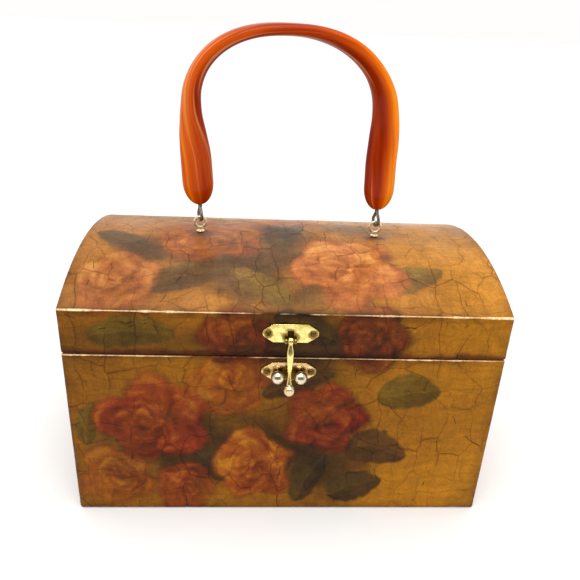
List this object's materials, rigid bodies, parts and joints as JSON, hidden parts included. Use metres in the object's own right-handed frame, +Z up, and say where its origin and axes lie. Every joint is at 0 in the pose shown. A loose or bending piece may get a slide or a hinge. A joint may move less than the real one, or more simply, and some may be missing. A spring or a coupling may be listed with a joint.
{
  "type": "wooden box purse",
  "caption": "Dome-topped wooden box purse with a hinged arched lid, crackled flower-paper finish, brass clasp with a swinging arm, and a twisted amber handle on linked eyes.",
  "frame": {"origin": "middle of the underside of the base, where the purse stands", "axes": "+Z up, -Y towards the front with the clasp, +X to the right seen from the front"},
  "size_m": [0.23, 0.1617, 0.2589],
  "materials": {
    "papered_wood": "wood covered with flower paper under aged, crackled gloss varnish",
    "amber_resin": "polished marbled amber resin",
    "clasp_brass": "pale polished brass",
    "stud_silver": "polished nickel balls",
    "nail_bronze": "tarnished brass nail heads",
    "eye_brass": "worn brass",
    "eye_steel": "dulled steel wire",
    "hinge_brass": "dull aged brass"
  },
  "bodies": {
    "box": {"base_panel": "papered_wood", "front_wall": "papered_wood", "back_wall": "papered_wood", "left_wall": "papered_wood", "right_wall": "papered_wood", "lower_clasp_plate": "clasp_brass", "clasp_stud_left": "stud_silver", "clasp_stud_right": "stud_silver", "lower_nail_left": "nail_bronze", "lower_nail_right": "nail_bronze", "hinge_lower_left": "hinge_brass", "hinge_lower_right": "hinge_brass"},
    "lid": {"lid_front_rail": "papered_wood", "lid_back_rail": "papered_wood", "lid_left_end": "papered_wood", "lid_right_end": "papered_wood", "dome_panel": "papered_wood", "upper_clasp_plate": "clasp_brass", "upper_nail_left": "nail_bronze", "upper_nail_right": "nail_bronze", "lid_eye_left": "eye_brass", "lid_eye_right": "eye_brass", "hinge_upper_left": "hinge_brass", "hinge_upper_right": "hinge_brass"},
    "handle": {"handle_grip": "amber_resin", "handle_eye_left": "eye_steel", "handle_eye_right": "eye_steel"},
    "clasp": {"clasp_arm": "clasp_brass"}
  },
  "joints": [
    {"name": "lid_hinge", "type": "hinge", "parent": "box", "child": "lid", "pos_m": [0, 0.0751, 0.1022], "axis": [-1, 0, 0], "range_deg": [0, 110]},
    {"name": "handle_swing", "type": "hinge", "parent": "lid", "child": "handle", "pos_m": [0, 0, 0.1529], "axis": [1, 0, 0], "range_deg": [-100, 100]},
    {"name": "clasp_swing", "type": "hinge", "parent": "lid", "child": "clasp", "pos_m": [0.0006, -0.0752, 0.1133], "axis": [-1, 0, 0], "range_deg": [0, 150]}
  ]
}
